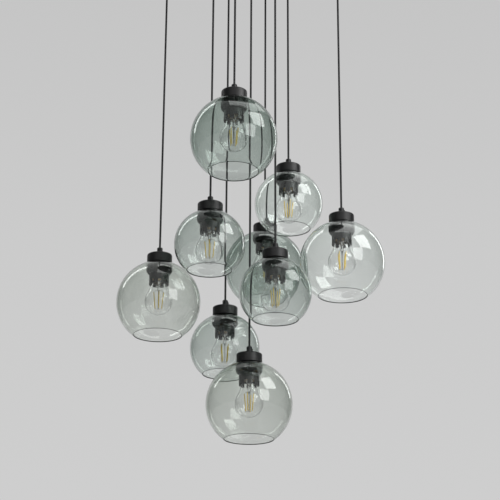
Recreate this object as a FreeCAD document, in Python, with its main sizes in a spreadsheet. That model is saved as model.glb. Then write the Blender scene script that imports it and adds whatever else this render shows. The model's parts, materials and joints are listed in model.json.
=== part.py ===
"""Cluster pendant: nine globe lamps of smoked glass, hung on black cords at stepped heights
from one round ceiling canopy.

Lengths are millimetres and +Z is up. The origin is the middle of the face that lies against
the ceiling. Each lamp is drawn about its own axis, with height 0 at the lower edge of its cap.
"""
import FreeCAD, Part
import math
import os

import Sketcher
from FreeCAD import Placement, Rotation, Vector

# Driving dimensions: name, value, what it is.
DRIVING = [
    ("canopy_d", 480, "outer diameter of the canopy cover"),
    ("canopy_depth", 32, "height of the canopy cover"),
    ("canopy_wall", 1.2, "sheet thickness of the canopy cover"),
    ("canopy_edge_r", 5, "bend radius round the canopy's lower edge"),
    ("inner_ring_r", 100, "radius of the circle of four inner cord holes"),
    ("inner_ring_turn", 32, "angle of the first inner cord hole"),
    ("outer_ring_r", 198, "radius of the circle of four outer cord holes"),
    ("outer_ring_turn", -10, "angle of the first outer cord hole"),
    ("strap_w", 30, "width of the ceiling strap"),
    ("strap_t", 2, "thickness of the ceiling strap"),
    ("tab_room", 1, "height left between the strap's turned-down ends and the cover's bend"),
    ("strap_slot_gap", 120, "distance between the strap's two fixing slots"),
    ("strap_slot_w", 5.5, "width of a fixing slot"),
    ("strap_slot_len", 20, "length of a fixing slot, end to end"),
    ("side_screw_d", 4, "diameter of the screws that hold the cover"),
    ("side_screw_head_d", 10, "diameter of their knurled heads"),
    ("side_screw_head_t", 6, "thickness of their heads"),
    ("side_screw_drop", 14, "depth of these screws below the ceiling"),
    ("block_len", 46, "length of the terminal block"),
    ("block_w", 20, "width of the terminal block"),
    ("block_depth", 15, "height of the terminal block"),
    ("block_pitch", 14, "distance between neighbouring terminals"),
    ("block_gap", 12, "distance from a fixing slot to the terminal block"),
    ("stem_d", 9.8, "diameter of every hollow threaded stem"),
    ("nut_af", 17, "width across flats of the nut on a canopy grip"),
    ("nut_t", 5, "thickness of that nut"),
    ("hanger_d", 15, "diameter of a cord grip under the canopy"),
    ("hanger_len", 16, "length of a cord grip under the canopy"),
    ("hanger_edge_r", 2, "edge radius of that grip"),
    ("hanger_stem", 12, "length of the stem above that grip's shoulder"),
    ("cord_d", 4.4, "diameter of the textile cord"),
    ("swing_room", 0.6, "gap all round the cord in the canopy grip, which lets it swing"),
    ("gland_d", 12, "diameter of the cord grip on a cap"),
    ("gland_len", 16.5, "height of the cord grip on a cap"),
    ("gland_edge_r", 2.5, "edge radius of that grip"),
    ("gland_stem", 12, "length of the stem below that grip's shoulder"),
    ("gland_socket", 10.5, "depth of the socket that takes the cord"),
    ("wire_bore_d", 3.2, "bore for the wires below that socket"),
    ("grub_d", 3, "diameter of the cord grip's side screw"),
    ("grub_head_d", 4.4, "diameter of that screw's head"),
    ("grub_head_t", 1.4, "thickness of that screw's head"),
    ("cap_depth", 20, "height of the metal cap over a globe"),
    ("cap_room", 0.8, "gap between the cap and the lampholder's flange"),
    ("cap_wall", 1.2, "wall of that cap"),
    ("cap_edge_r", 2.5, "radius round the cap's top edge"),
    ("holder_len", 48, "how far the lampholder's skirt reaches below the cap"),
    ("holder_wall", 2.8, "wall of that skirt"),
    ("neck_room", 3.1, "gap between the skirt and the bulb's neck"),
    ("holder_dome_d", 40, "diameter of the lampholder inside the cap"),
    ("holder_dome_r", 5, "radius round the top of the lampholder"),
    ("flange_lip", 2.6, "how far the flange reaches over the glass"),
    ("flange_t", 2.5, "thickness of the flange that the glass is pressed against"),
    ("notch_w", 6.5, "width of a notch in the skirt's lower edge"),
    ("notch_depth", 9, "height of a notch"),
    ("ring_wall", 6.5, "wall of the shade ring"),
    ("ring_len", 11, "height of the shade ring's straight band"),
    ("ring_taper", 8.5, "height of the hollow taper below that band"),
    ("ring_cove_r", 12, "radius of that taper"),
    ("ring_lip", 0.9, "wall of the shade ring's lower edge"),
    ("thread_room", 0.3, "gap between the shade ring and the skirt"),
    ("socket_drop", 8, "depth of the socket's floor below the cap"),
    ("shell_wall", 0.6, "wall of the brass screw shell"),
    ("shell_len", 20, "length of the brass screw shell"),
    ("contact_d", 9, "diameter of the centre contact"),
    ("contact_t", 1.7, "thickness of the centre contact"),
    ("seat_gap", 0.2, "play between the glass and what clamps it, and at the bulb's contact"),
    ("large_globe_d", 180, "outer diameter of the five large globes"),
    ("small_globe_d", 150, "outer diameter of the four small globes"),
    ("large_mouth_d", 102.5, "diameter of a large globe's mouth"),
    ("small_mouth_d", 94, "diameter of a small globe's mouth"),
    ("glass_wall", 2, "wall of the smoked glass"),
    ("hole_room", 1, "gap between the skirt and the hole in the top of a globe"),
    ("lip_r", 1.2, "rounding of the globe's lower lip"),
    ("bulb_d", 60, "diameter of the bulb"),
    ("bulb_len", 105, "length of the bulb with its base"),
    ("bulb_base_len", 26, "length of the bulb's screw base"),
    ("bulb_base_d", 26.4, "diameter of the bulb's screw base"),
    ("bulb_neck_d", 31, "diameter of the bulb's glass at its base"),
    ("bulb_hollow_r", 90, "radius of the hollow curve from there to the bulb's round"),
    ("bulb_wall", 0.8, "wall of the bulb's glass"),
    ("bulb_button_d", 9.5, "diameter of the bulb's end contact"),
    ("stem_foot_d", 18, "diameter of the glass stem at the base"),
    ("stem_neck_d", 6.4, "diameter of the glass stem at its pinch"),
    ("stem_flare", 18, "height of the flared foot of the stem"),
    ("stem_rod_d", 2.6, "diameter of the glass rod between the filaments"),
    ("filament_d", 2.2, "diameter of a filament stick"),
    ("filament_drop", 29, "distance from the bulb's base to the tops of the sticks"),
    ("filament_top_r", 10.5, "distance of a stick's upper end from the axis"),
    ("filament_foot_r", 7, "distance of a stick's lower end from the axis"),
    ("filament_foot_up", 14, "height of the lower ends above the bulb's tip"),
    ("wire_d", 0.9, "diameter of the wires that carry the sticks"),
    ("drop_1", 545, "ceiling to cap, lamp 1: outer ring, nearest the viewer"),
    ("drop_2", 606, "ceiling to cap, lamp 2: inner ring"),
    ("drop_3", 757, "ceiling to cap, lamp 3: outer ring, right"),
    ("drop_4", 740, "ceiling to cap, lamp 4: inner ring"),
    ("drop_5", 693, "ceiling to cap, lamp 5: outer ring, farthest from the viewer"),
    ("drop_6", 857, "ceiling to cap, lamp 6: inner ring"),
    ("drop_7", 825, "ceiling to cap, lamp 7: outer ring, left"),
    ("drop_8", 927, "ceiling to cap, lamp 8: inner ring"),
    ("drop_9", 1056, "ceiling to cap, lamp 9: centre of the canopy"),
]

# Lamp number: ring, place on the ring (quarter turns), globe size, turn of bulb and grip screw.
LAMPS = {
    1: ("outer", 3, "large", 12),
    2: ("inner", 0, "small", 62),
    3: ("outer", 0, "large", 5),
    4: ("inner", 2, "small", 40),
    5: ("outer", 1, "large", 75),
    6: ("inner", 3, "small", 20),
    7: ("outer", 2, "large", 52),
    8: ("inner", 1, "small", 8),
    9: ("centre", 0, "large", 25),
}
NOTCH_CUTS = 4
FILAMENTS = 4
TERMINALS = 3
NUT_SIDES = 6

doc = FreeCAD.newDocument("cluster_pendant")
sheet = doc.addObject("Spreadsheet::Sheet", "sizes")
nodes = {}


class Size:
    """A number with the sheet formula that gives it, so that both always agree."""

    def __init__(self, value, formula=None):
        self.value = float(value)
        self.formula = formula if formula else repr(float(value))

    def __add__(self, other):
        other = as_size(other)
        return Size(self.value + other.value, f"({self.formula} + {other.formula})")

    def __sub__(self, other):
        other = as_size(other)
        return Size(self.value - other.value, f"({self.formula} - {other.formula})")

    def __mul__(self, other):
        other = as_size(other)
        return Size(self.value * other.value, f"({self.formula} * {other.formula})")

    def __truediv__(self, other):
        other = as_size(other)
        return Size(self.value / other.value, f"({self.formula} / {other.formula})")

    def __neg__(self):
        return Size(-self.value, f"(-1 * {self.formula})")

    def root(self):
        return Size(math.sqrt(self.value), f"sqrt({self.formula})")

    def cosine(self):
        return Size(math.cos(math.radians(self.value)), f"cos({self.formula})")

    def sine(self):
        return Size(math.sin(math.radians(self.value)), f"sin({self.formula})")


def as_size(number):
    return number if isinstance(number, Size) else Size(number)


def fill_sheet():
    """Writes the driving dimensions to the sheet and gives them back by name."""
    found = {}
    for row, (name, value, meaning) in enumerate(DRIVING, start=1):
        sheet.set(f"A{row}", meaning)
        sheet.set(f"B{row}", str(value))
        sheet.setAlias(f"B{row}", name)
        found[name] = Size(value, f"sizes.{name}")
    doc.recompute()
    return found


size = fill_sheet()
ZERO = Size(0)


def leg(long_side, short_side):
    """The other leg of a right triangle: from a sphere's radius, the height over a ring."""
    return (long_side * long_side - short_side * short_side).root()


def origin_part(body, role):
    return next(part for part in body.Origin.OriginFeatures if part.Role == role)


def new_sketch(body, name, plane):
    sketch = body.newObject("Sketcher::SketchObject", name)
    sketch.AttachmentSupport = (origin_part(body, plane), [""])
    sketch.MapMode = "FlatFace"
    return sketch


def tie(sketch, kind, *place, length):
    """Adds a dimension to a sketch and binds it to the sheet."""
    index = sketch.addConstraint(Sketcher.Constraint(kind, *place, length.value))
    sketch.setExpression(f"Constraints[{index}]", length.formula)


def tie_point(sketch, item, end, across, up):
    """Fixes a point at its distances from the sketch's origin."""
    if across.value == 0:
        sketch.addConstraint(Sketcher.Constraint("PointOnObject", item, end, -2))
    else:
        tie(sketch, "DistanceX", -1, 1, item, end, length=across)
    if up.value == 0:
        sketch.addConstraint(Sketcher.Constraint("PointOnObject", item, end, -1))
    else:
        tie(sketch, "DistanceY", -1, 1, item, end, length=up)


def arc_between(start, finish, bend):
    """The arc from start to finish. Its centre is on the left for a bend over zero."""
    radius = abs(bend)
    chord = finish - start
    left = Vector(-chord.y, chord.x, 0).normalize()
    rise = math.sqrt(max(radius**2 - (chord.Length / 2) ** 2, 0))
    centre = (start + finish) * 0.5 + left * math.copysign(rise, bend)
    first, last = (start, finish) if bend > 0 else (finish, start)
    turns = [math.atan2(p.y - centre.y, p.x - centre.x) for p in (first, last)]
    return Part.ArcOfCircle(Part.Circle(centre, Vector(0, 0, 1), radius), *turns)


def draw_outline(sketch, corners):
    """Draws a closed outline. A corner is (across, up), or (across, up, bend) where an arc of
    that radius arrives at it: over zero when the arc turns left, under zero when it turns right."""
    corners = [tuple(as_size(part) for part in corner) for corner in corners]
    points = [Vector(corner[0].value, corner[1].value, 0) for corner in corners]
    ends = []
    for index, corner in enumerate(corners):
        start, finish = points[index - 1], points[index]
        if len(corner) == 3:
            item = sketch.addGeometry(arc_between(start, finish, corner[2].value), False)
            ends.append((item, 1, 2) if corner[2].value > 0 else (item, 2, 1))
        else:
            item = sketch.addGeometry(Part.LineSegment(start, finish), False)
            ends.append((item, 1, 2))
    for index, (item, _, last) in enumerate(ends):
        following, first, _ = ends[(index + 1) % len(ends)]
        sketch.addConstraint(Sketcher.Constraint("Coincident", item, last, following, first))
        tie_point(sketch, item, last, corners[index][0], corners[index][1])
    for (item, _, _), corner in zip(ends, corners):
        if len(corner) == 3:
            radius = corner[2] if corner[2].value > 0 else -corner[2]
            tie(sketch, "Radius", item, length=radius)


def draw_circle(sketch, across, up, radius):
    circle = Part.Circle(Vector(across.value, up.value, 0), Vector(0, 0, 1), radius.value)
    item = sketch.addGeometry(circle, False)
    tie_point(sketch, item, 3, across, up)
    tie(sketch, "Radius", item, length=radius)


def turned(name, corners):
    """A solid of revolution about its own upright axis."""
    body = doc.addObject("PartDesign::Body", name)
    sketch = new_sketch(body, f"{name}_outline", "XZ_Plane")
    draw_outline(sketch, corners)
    turn = body.newObject("PartDesign::Revolution", f"{name}_turn")
    turn.Profile = sketch
    turn.ReferenceAxis = (sketch, ["V_Axis"])
    turn.Angle = 360
    sketch.Visibility = False
    return body


def padded(name, plane, corners, length):
    """A flat outline padded evenly to both sides of its plane."""
    body = doc.addObject("PartDesign::Body", name)
    sketch = new_sketch(body, f"{name}_outline", plane)
    draw_outline(sketch, corners)
    pad = body.newObject("PartDesign::Pad", f"{name}_pad")
    pad.Profile = sketch
    pad.Midplane = True
    pad.setExpression("Length", length.formula)
    return body


def cut_through(body, name, sketch, both_ways=False):
    """Pockets a sketch right through a body, and stops if nothing was cut."""
    doc.recompute()
    before = body.Shape.Volume
    pocket = body.newObject("PartDesign::Pocket", name)
    pocket.Profile = sketch
    pocket.Type = 1
    pocket.Midplane = both_ways
    doc.recompute()
    if body.Shape.Volume > before - 0.01:
        raise RuntimeError(f"{name} cuts nothing")
    return pocket


def drilled(body, name, plane, holes, both_ways=False):
    """Cuts round holes, each given as (across, up, radius), square to an origin plane."""
    sketch = new_sketch(body, f"{name}_sketch", plane)
    for across, up, radius in holes:
        draw_circle(sketch, across, up, radius)
    return cut_through(body, name, sketch, both_ways)


def rod(name, diameter, length, foot, towards):
    """A round bar that starts at foot and runs the given way."""
    bar = doc.addObject("Part::Cylinder", name)
    bar.setExpression("Radius", (diameter / 2).formula)
    bar.setExpression("Height", length.formula)
    bar.Placement = Placement(foot, Rotation(Vector(0, 0, 1), towards))
    return bar


def grouped(name, pieces):
    """One node that holds several separate solids."""
    group = doc.addObject("Part::Compound", name)
    group.Links = pieces
    return group


def joined(name, pieces):
    whole = doc.addObject("Part::MultiFuse", name)
    whole.Shapes = pieces
    return whole


def keep(name, piece, across=ZERO, forward=ZERO, up=ZERO):
    """Names a finished sub-part, puts it in its place and lists it for export."""
    piece.Label = name
    for axis, place in zip("xyz", (across, forward, up)):
        piece.setExpression(f"Placement.Base.{axis}", place.formula)
    nodes[name] = piece


def hole_place(number):
    """The cord hole of a lamp in the canopy."""
    ring, quarter, _, _ = LAMPS[number]
    if ring == "centre":
        return ZERO, ZERO
    turn = size[f"{ring}_ring_turn"] + 90 * quarter
    radius = size[f"{ring}_ring_r"]
    return radius * turn.cosine(), radius * turn.sine()


# Sizes that several pieces share.
stem_r = size["stem_d"] / 2
stem_hole_r = stem_r + 0.3
cord_r = size["cord_d"] / 2
cap_top = size["cap_depth"]
cap_ceiling = size["cap_depth"] - size["cap_wall"]
neck_r = size["bulb_neck_d"] / 2
skirt_bore_r = neck_r + size["neck_room"]
skirt_r = skirt_bore_r + size["holder_wall"]
glass_hole_r = skirt_r + size["hole_room"]
flange_r = glass_hole_r + size["flange_lip"]
shell_r = size["bulb_base_d"] / 2 + 0.3 + size["shell_wall"]
contact_seat = -size["socket_drop"]
bulb_top = contact_seat - size["contact_t"] - size["seat_gap"]
bulb_tip = bulb_top - size["bulb_len"]
neck_top = bulb_top - size["bulb_base_len"]


def glass_centre(kind):
    """Height of a globe's centre, which puts the rim of its hole just under the flange."""
    globe_r = size[f"{kind}_globe_d"] / 2
    return -size["seat_gap"] - leg(globe_r, glass_hole_r)


def ceiling_bracket():
    """The strap that is screwed to the ceiling, with ends turned down to hold the cover."""
    inside_r = size["canopy_d"] / 2 - size["canopy_wall"]
    reach = leg(inside_r, size["strap_w"] / 2) - size["seat_gap"]
    inner = reach - size["strap_t"]
    tab_end = size["canopy_edge_r"] + size["tab_room"] - size["canopy_depth"]
    outline = [
        (-reach, ZERO),
        (-reach, tab_end),
        (-inner, tab_end),
        (-inner, -size["strap_t"]),
        (inner, -size["strap_t"]),
        (inner, tab_end),
        (reach, tab_end),
        (reach, ZERO),
    ]
    body = padded("ceiling_bracket", "XZ_Plane", outline, size["strap_w"])
    slot_r = size["strap_slot_w"] / 2
    straight = size["strap_slot_len"] / 2 - slot_r
    sketch = new_sketch(body, "fixing_slots_sketch", "XY_Plane")
    for side in (-1, 1):
        middle = size["strap_slot_gap"] / 2 * side
        # each end is two quarter turns
        draw_outline(sketch, [
            (middle - straight, slot_r),
            (middle - straight - slot_r, ZERO, slot_r),
            (middle - straight, -slot_r, slot_r),
            (middle + straight, -slot_r),
            (middle + straight + slot_r, ZERO, slot_r),
            (middle + straight, slot_r, slot_r),
        ])
    cut_through(body, "fixing_slots", sketch, both_ways=True)
    screw_hole_r = size["side_screw_d"] / 2 + 0.1
    hole = (ZERO, -size["side_screw_drop"], screw_hole_r)
    drilled(body, "tab_holes", "YZ_Plane", [hole], both_ways=True)
    keep("ceiling_bracket", body)


def canopy_cover():
    """The pressed round cover, open towards the ceiling, with nine cord holes."""
    outer = size["canopy_d"] / 2
    inner = outer - size["canopy_wall"]
    depth = size["canopy_depth"]
    bend = size["canopy_edge_r"]
    inside_bend = bend - size["canopy_wall"]
    body = turned("canopy_cover", [
        (inner, ZERO),
        (outer, ZERO),
        (outer, bend - depth),
        (outer - bend, -depth, -bend),
        (ZERO, -depth),
        (ZERO, size["canopy_wall"] - depth),
        (outer - bend, size["canopy_wall"] - depth),
        (inner, bend - depth, inside_bend),
    ])
    holes = [(*hole_place(number), stem_hole_r) for number in LAMPS]
    drilled(body, "cord_holes", "XY_Plane", holes)
    side_hole = (ZERO, -size["side_screw_drop"], size["side_screw_d"] / 2 + 0.1)
    drilled(body, "side_holes", "YZ_Plane", [side_hole], both_ways=True)
    keep("canopy_cover", body)


def canopy_screws():
    """Two knurled screws that hold the cover to the strap's ends."""
    screws = []
    head_face = size["canopy_d"] / 2 + 0.05
    shank_start = head_face - 12
    for side, way in (("right", 1), ("left", -1)):
        towards = Vector(way, 0, 0)
        level = -size["side_screw_drop"].value
        shank = rod(f"side_screw_shank_{side}", size["side_screw_d"], Size(12.5),
                    Vector(way * shank_start.value, 0, level), towards)
        head = rod(f"side_screw_head_{side}", size["side_screw_head_d"],
                   size["side_screw_head_t"], Vector(way * head_face.value, 0, level), towards)
        screws.append(joined(f"side_screw_{side}", [shank, head]))
    keep("canopy_screws", grouped("canopy_screws", screws))


def terminal_block():
    """The mains terminal block under the strap, with wire entries and screw wells."""
    half_len = size["block_len"] / 2
    top = -size["strap_t"]
    bottom = top - size["block_depth"]
    corner = 2
    body = padded("terminal_block", "XZ_Plane", [
        (-half_len, top),
        (-half_len, bottom + corner),
        (-half_len + corner, bottom),
        (half_len - corner, bottom),
        (half_len, bottom + corner),
        (half_len, top),
    ], size["block_w"])
    steps = [size["block_pitch"] * (n - (TERMINALS - 1) / 2) for n in range(TERMINALS)]
    entry_height = top - size["block_depth"] / 2
    entries = [(step, entry_height, Size(2.6)) for step in steps]
    drilled(body, "wire_entries", "XZ_Plane", entries, both_ways=True)
    wells = [(step, size["block_w"] / 4 * side, Size(1.9)) for step in steps for side in (-1, 1)]
    drilled(body, "screw_wells", "XY_Plane", wells)
    slot_end = size["strap_slot_gap"] / 2 + size["strap_slot_len"] / 2
    keep("terminal_block", body, across=slot_end + size["block_gap"] + half_len)


def canopy_cord_grips():
    """Nine grips under the canopy. The cord hangs from each grip's mouth and swings there."""
    bore_r = cord_r + size["swing_room"]
    outer = size["hanger_d"] / 2
    edge = size["hanger_edge_r"]
    length = size["hanger_len"]
    grips = []
    nuts = []
    for number in LAMPS:
        across, forward = hole_place(number)
        grip = turned(f"canopy_grip_{number}", [
            (bore_r, -length),
            (outer - edge, -length),
            (outer, edge - length, edge),
            (outer, ZERO),
            (stem_r, ZERO),
            (stem_r, size["hanger_stem"]),
            (bore_r, size["hanger_stem"]),
        ])
        prism = doc.addObject("Part::Prism", f"nut_blank_{number}")
        prism.Polygon = NUT_SIDES
        prism.setExpression("Circumradius", (size["nut_af"] / 2 / Size(30).cosine()).formula)
        prism.setExpression("Height", size["nut_t"].formula)
        bore = rod(f"nut_bore_{number}", size["stem_d"] + 0.2, size["nut_t"] * 3,
                   Vector(0, 0, -size["nut_t"].value), Vector(0, 0, 1))
        nut = doc.addObject("Part::Cut", f"grip_nut_{number}")
        nut.Base = prism
        nut.Tool = bore
        for piece, up in ((grip, ZERO), (nut, size["canopy_wall"])):
            places = (across, forward, up - size["canopy_depth"])
            for axis, place in zip("xyz", places):
                piece.setExpression(f"Placement.Base.{axis}", place.formula)
        grips.append(grip)
        nuts.append(nut)
    keep("canopy_cord_grips", grouped("canopy_cord_grips", grips))
    keep("canopy_grip_nuts", grouped("canopy_grip_nuts", nuts))


def cord(number):
    """The textile cord, straight under the lamp's weight. Its top is a ball in the grip's mouth,
    so that it can swing there."""
    seat = cap_top + size["gland_len"] - size["gland_socket"]
    hang = size[f"drop_{number}"] - size["canopy_depth"] - size["hanger_len"]
    return turned(f"cord_{number}_solid", [
        (ZERO, seat),
        (cord_r, seat),
        (cord_r, hang),
        (ZERO, hang + cord_r, cord_r),
    ])


def cord_grip(number):
    """The grip that holds the cord on top of the cap, with its stem and side screw."""
    outer = size["gland_d"] / 2
    top = cap_top + size["gland_len"]
    edge = size["gland_edge_r"]
    socket_r = cord_r + size["seat_gap"]
    socket_floor = top - size["gland_socket"]
    screw_height = cap_top + size["gland_len"] * 0.6
    bore_r = size["wire_bore_d"] / 2
    body = turned(f"grip_body_{number}", [
        (bore_r, cap_top - size["gland_stem"]),
        (stem_r, cap_top - size["gland_stem"]),
        (stem_r, cap_top),
        (outer, cap_top),
        (outer, top - edge),
        (outer - edge, top, edge),
        (socket_r, top),
        (socket_r, socket_floor),
        (bore_r, socket_floor),
    ])
    sketch = new_sketch(body, f"grub_hole_sketch_{number}", "YZ_Plane")
    draw_circle(sketch, ZERO, screw_height, size["grub_d"] / 2 + 0.1)
    hole = cut_through(body, f"grub_hole_{number}", sketch, both_ways=True)
    hole.Type = 0
    hole.Midplane = False
    hole.Reversed = True
    hole.setExpression("Length", (outer + 1).formula)
    tip = cord_r + size["seat_gap"]
    level = screw_height.value
    shank = rod(f"grub_shank_{number}", size["grub_d"], outer - tip + 0.2,
                Vector(tip.value, 0, level), Vector(1, 0, 0))
    head = rod(f"grub_head_{number}", size["grub_head_d"], size["grub_head_t"],
               Vector(outer.value + 0.05, 0, level), Vector(1, 0, 0))
    return grouped(f"cord_grip_{number}", [body, joined(f"grub_screw_{number}", [shank, head])])


def cap(number):
    """The drawn metal cap that hides the top of the lampholder."""
    inner = flange_r + size["cap_room"]
    outer = inner + size["cap_wall"]
    bend = size["cap_edge_r"]
    inside_bend = bend - size["cap_wall"]
    return turned(f"cap_{number}_solid", [
        (inner, ZERO),
        (outer, ZERO),
        (outer, cap_top - bend),
        (outer - bend, cap_top, bend),
        (stem_hole_r, cap_top),
        (stem_hole_r, cap_ceiling),
        (outer - bend, cap_ceiling),
        (inner, cap_top - bend, -inside_bend),
    ])


def lampholder(number):
    """The lampholder: notched skirt, shade ring, brass screw shell and centre contact."""
    kind = LAMPS[number][2]
    dome_r = size["holder_dome_d"] / 2
    edge = size["holder_dome_r"]
    bore_r = shell_r + 0.1
    bore_end = contact_seat - size["contact_t"] - size["shell_len"] - 1
    bottom = -size["holder_len"]
    passage_r = size["wire_bore_d"] / 2 + 1.4
    stem_floor = cap_top - size["gland_stem"] - 0.5
    skirt = turned(f"skirt_{number}", [
        (passage_r, contact_seat),
        (bore_r, contact_seat),
        (bore_r, bore_end),
        (skirt_bore_r, bore_end),
        (skirt_bore_r, bottom),
        (skirt_r, bottom),
        (skirt_r, ZERO),
        (flange_r, ZERO),
        (flange_r, size["flange_t"]),
        (dome_r, size["flange_t"]),
        (dome_r, cap_ceiling - edge),
        (dome_r - edge, cap_ceiling, edge),
        (stem_hole_r, cap_ceiling),
        (stem_hole_r, stem_floor),
        (passage_r, stem_floor),
    ])
    half = size["notch_w"] / 2
    notch_top = size["notch_depth"] - size["holder_len"]
    sketch = new_sketch(skirt, f"notch_sketch_{number}", "XZ_Plane")
    draw_outline(sketch, [
        (half, bottom - 1),
        (half, notch_top),
        (-half, notch_top),
        (-half, bottom - 1),
    ])
    notch = cut_through(skirt, f"notch_{number}", sketch, both_ways=True)
    pattern = skirt.newObject("PartDesign::PolarPattern", f"notches_{number}")
    pattern.Originals = [notch]
    pattern.Axis = (origin_part(skirt, "Z_Axis"), [""])
    pattern.Angle = 180 - 180 / NOTCH_CUTS
    pattern.Occurrences = NOTCH_CUTS
    skirt.Tip = pattern
    ring_inside = skirt_r + size["thread_room"]
    ring_foot = ring_inside + size["ring_lip"]
    ring_r = ring_inside + size["ring_wall"]
    glass_inside_r = size[f"{kind}_globe_d"] / 2 - size["glass_wall"]
    ring_top = glass_centre(kind) + leg(glass_inside_r, ring_r) - size["seat_gap"]
    band_end = ring_top - size["ring_len"]
    ring = turned(f"shade_ring_{number}", [
        (ring_inside, band_end - size["ring_taper"]),
        (ring_foot, band_end - size["ring_taper"]),
        (ring_r, band_end, -size["ring_cove_r"]),
        (ring_r, ring_top),
        (ring_inside, ring_top),
    ])
    shell_top = contact_seat - size["contact_t"]
    shell = turned(f"screw_shell_{number}", [
        (shell_r - size["shell_wall"], shell_top - size["shell_len"]),
        (shell_r, shell_top - size["shell_len"]),
        (shell_r, shell_top),
        (shell_r - size["shell_wall"], shell_top),
    ])
    contact = turned(f"centre_contact_{number}", [
        (ZERO, contact_seat - size["contact_t"]),
        (size["contact_d"] / 2, contact_seat - size["contact_t"]),
        (size["contact_d"] / 2, contact_seat),
        (ZERO, contact_seat),
    ])
    return grouped(f"lampholder_{number}", [skirt, ring, shell, contact])


def glass_globe(number):
    """A blown globe, ground flat at its top hole and rounded at its open mouth."""
    kind = LAMPS[number][2]
    outer = size[f"{kind}_globe_d"] / 2
    inner = outer - size["glass_wall"]
    centre = glass_centre(kind)
    mouth_r = size[f"{kind}_mouth_d"] / 2
    mouth_drop = leg(outer, mouth_r)
    thin = inner / outer
    return turned(f"globe_{number}_solid", [
        (glass_hole_r, centre + leg(outer, glass_hole_r)),
        (mouth_r, centre - mouth_drop, -outer),
        (mouth_r * thin, centre - mouth_drop * thin, -size["lip_r"]),
        (glass_hole_r, centre + leg(inner, glass_hole_r), inner),
    ])


def bulb(number):
    """A clear filament bulb: glass, screw base, glass stem with wires, and four sticks."""
    globe_r = size["bulb_d"] / 2
    centre = bulb_tip + globe_r
    hollow = size["bulb_hollow_r"]
    wall = size["bulb_wall"]
    # the hollow curve leaves the base at neck_r and meets the round in one smooth line
    lift = neck_top - centre
    apart = (neck_r * neck_r + lift * lift).root()
    reach = globe_r + hollow
    along = (apart * apart + reach * reach - hollow * hollow) / (apart * 2)
    aside = leg(reach, along)
    hollow_x = (along * neck_r + aside * lift) / apart
    hollow_z = (along * lift - aside * neck_r) / apart
    share = globe_r / reach
    thin_r = globe_r - wall
    thin_share = thin_r / reach
    thin_neck = hollow_x - leg(hollow + wall, hollow_z - lift)
    glass = turned(f"bulb_glass_{number}", [
        (thin_neck, neck_top, -(hollow + wall)),
        (neck_r, neck_top),
        (hollow_x * share, centre + hollow_z * share, hollow),
        (ZERO, bulb_tip, -globe_r),
        (ZERO, bulb_tip + wall),
        (hollow_x * thin_share, centre + hollow_z * thin_share, thin_r),
    ])
    base_r = size["bulb_base_d"] / 2
    button_r = size["bulb_button_d"] / 2
    base = turned(f"bulb_base_{number}", [
        (ZERO, bulb_top),
        (ZERO, neck_top),
        (neck_r, neck_top),
        (neck_r, neck_top + 1.2),
        (base_r, neck_top + 2),
        (base_r, bulb_top - 6),
        (button_r, bulb_top - 1.5),
        (button_r, bulb_top),
    ])
    foot_level = bulb_tip + size["filament_foot_up"]
    top_level = neck_top - size["filament_drop"]
    span = top_level - foot_level
    rod_r = size["stem_rod_d"] / 2
    pinch_r = size["stem_neck_d"] / 2
    flare_end = neck_top - size["stem_flare"]
    stem = turned(f"bulb_stem_{number}", [
        (ZERO, neck_top),
        (ZERO, foot_level - 2),
        (rod_r, foot_level - 2),
        (rod_r, top_level + 2),
        (pinch_r, top_level + 3),
        (pinch_r, flare_end),
        (size["stem_foot_d"] / 2, neck_top, -size["stem_flare"] * 2),
    ])
    wires = []
    sticks = []
    lean = size["filament_top_r"] - size["filament_foot_r"]
    length = (lean * lean + span * span).root()
    for n in range(FILAMENTS):
        angle = math.radians(360 / FILAMENTS * (n + 0.5))
        out = Vector(math.cos(angle), math.sin(angle), 0)
        foot = out * size["filament_foot_r"].value + Vector(0, 0, foot_level.value)
        lie = out * lean.value + Vector(0, 0, span.value)
        sticks.append(rod(f"filament_{number}_{n}", size["filament_d"], length, foot, lie))
        for end, level, reach_out in (
            ("foot", foot_level - size["wire_d"] / 2 - 0.4, size["filament_foot_r"]),
            ("top", top_level + size["wire_d"] / 2 + 0.4, size["filament_top_r"]),
        ):
            start = Vector(0, 0, level.value)
            wires.append(rod(f"wire_{end}_{number}_{n}", size["wire_d"], reach_out, start, out))
    stem_and_wires = joined(f"bulb_mount_{number}", [stem, *wires])
    return grouped(f"bulb_{number}", [glass, base, stem_and_wires, *sticks])


def check_document():
    """Stops if a feature failed or a sub-part has no sound shape."""
    for item in doc.Objects:
        if "Invalid" in item.State or "Error" in item.State:
            raise RuntimeError(f"{item.Name} failed")
    for name, piece in nodes.items():
        if piece.Shape.isNull() or not piece.Shape.isValid() or not piece.Shape.Solids:
            raise RuntimeError(f"{name} has no sound shape")


ceiling_bracket()
canopy_cover()
canopy_screws()
terminal_block()
canopy_cord_grips()
for number, (_, _, _, turn) in LAMPS.items():
    across, forward = hole_place(number)
    place = (across, forward, -size[f"drop_{number}"])
    keep(f"cord_{number}", cord(number), *place)
    for name, make in (
        ("cord_grip", cord_grip),
        ("cap", cap),
        ("lampholder", lampholder),
        ("glass_globe", glass_globe),
        ("bulb", bulb),
    ):
        piece = make(number)
        piece.Placement = Placement(Vector(), Rotation(Vector(0, 0, 1), turn))
        keep(f"{name}_{number}", piece, *place)

doc.recompute()
check_document()
os.makedirs("parts", exist_ok=True)
for name, piece in nodes.items():
    piece.Shape.exportStep(f"parts/{name}.step")
solids = sum(len(piece.Shape.Solids) for piece in nodes.values())
print(f"{len(nodes)} nodes, {solids} solids")
for number in LAMPS:
    hang = size[f"drop_{number}"] - size["canopy_depth"] - size["hanger_len"]
    free = hang - cap_top - size["gland_len"]
    print(f"cord {number}: {free.value:.1f} mm between its grips, straight")
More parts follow.
